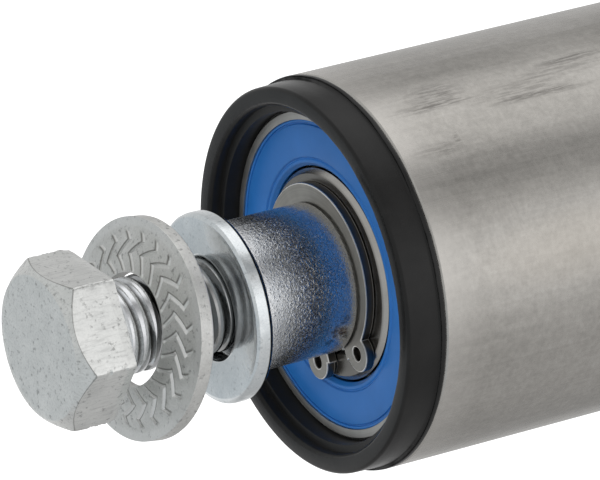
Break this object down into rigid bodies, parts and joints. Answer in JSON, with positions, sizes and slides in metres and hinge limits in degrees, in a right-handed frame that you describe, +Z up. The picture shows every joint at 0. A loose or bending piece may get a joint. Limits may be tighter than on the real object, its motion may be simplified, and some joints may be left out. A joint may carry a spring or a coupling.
{
  "type": "conveyor roller",
  "caption": "Conveyor roller: plain steel tube on sealed ball bearings in plastic end caps, turning on a fixed axle held at each end by a hex bolt with a lock washer and a flat washer.",
  "frame": {"origin": "middle of the roller, on its axis", "axes": "+X along the axle from the left end to the right end, +Z up, +Y horizontal"},
  "size_m": [0.3848, 0.05, 0.05],
  "materials": {
    "axle_steel": "zinc plated, coarse sparkling grain",
    "tube_steel": "zinc plated, satin, slightly mottled",
    "cap_plastic": "moulded, satin",
    "bearing_steel": "ground",
    "cage_steel": "pressed",
    "seal_rubber": "satin blue",
    "circlip_steel": "phosphated spring steel",
    "zinc_bright": "bright zinc",
    "zinc_grey": "matt zinc flake",
    "zinc_bolt": "zinc, matt head and bright shank"
  },
  "bodies": {
    "axle": {"axle": "axle_steel", "left_bearing_inner_ring": "bearing_steel", "right_bearing_inner_ring": "bearing_steel", "left_circlip": "circlip_steel", "right_circlip": "circlip_steel", "left_flat_washer": "zinc_bright", "right_flat_washer": "zinc_bright"},
    "drum": {"tube": "tube_steel", "left_end_cap": "cap_plastic", "right_end_cap": "cap_plastic", "left_bearing_outer_ring": "bearing_steel", "right_bearing_outer_ring": "bearing_steel", "left_outer_seal": "seal_rubber", "right_outer_seal": "seal_rubber", "left_inner_seal": "seal_rubber", "right_inner_seal": "seal_rubber"},
    "left_cage": {"left_bearing_cage": "cage_steel", "left_bearing_balls": "bearing_steel"},
    "right_cage": {"right_bearing_cage": "cage_steel", "right_bearing_balls": "bearing_steel"},
    "left_loose_washer": {"left_lock_washer": "zinc_grey"},
    "left_bolt": {"left_hex_bolt": "zinc_bolt"},
    "right_loose_washer": {"right_lock_washer": "zinc_grey"},
    "right_bolt": {"right_hex_bolt": "zinc_bolt"}
  },
  "joints": [
    {"name": "drum_spin", "type": "hinge", "parent": "axle", "child": "drum", "pos_m": [0, 0, 0], "axis": [1, 0, 0], "continuous": true},
    {"name": "left_cage_spin", "type": "hinge", "parent": "axle", "child": "left_cage", "pos_m": [-0.1455, 0, 0], "axis": [1, 0, 0], "continuous": true},
    {"name": "right_cage_spin", "type": "hinge", "parent": "axle", "child": "right_cage", "pos_m": [0.1455, 0, 0], "axis": [1, 0, 0], "continuous": true},
    {"name": "left_bolt_travel", "type": "slide", "parent": "axle", "child": "left_loose_washer", "axis": [1, 0, 0], "range_m": [-0.01, 0.0058]},
    {"name": "left_bolt_turn", "type": "hinge", "parent": "left_loose_washer", "child": "left_bolt", "pos_m": [-0.1849, 0, 0], "axis": [1, 0, 0], "range_deg": [-2058, 1194]},
    {"name": "right_bolt_travel", "type": "slide", "parent": "axle", "child": "right_loose_washer", "axis": [1, 0, 0], "range_m": [-0.0058, 0.01]},
    {"name": "right_bolt_turn", "type": "hinge", "parent": "right_loose_washer", "child": "right_bolt", "pos_m": [0.1849, 0, 0], "axis": [1, 0, 0], "range_deg": [-1194, 2058]}
  ],
  "couplings": [
    {"joint": "left_cage_spin", "follows": "drum_spin", "ratio": 0.60242},
    {"joint": "right_cage_spin", "follows": "drum_spin", "ratio": 0.60242},
    {"joint": "left_bolt_turn", "follows": "left_bolt_travel", "rad_per_m": 3590.4},
    {"joint": "right_bolt_turn", "follows": "right_bolt_travel", "rad_per_m": 3590.4}
  ]
}
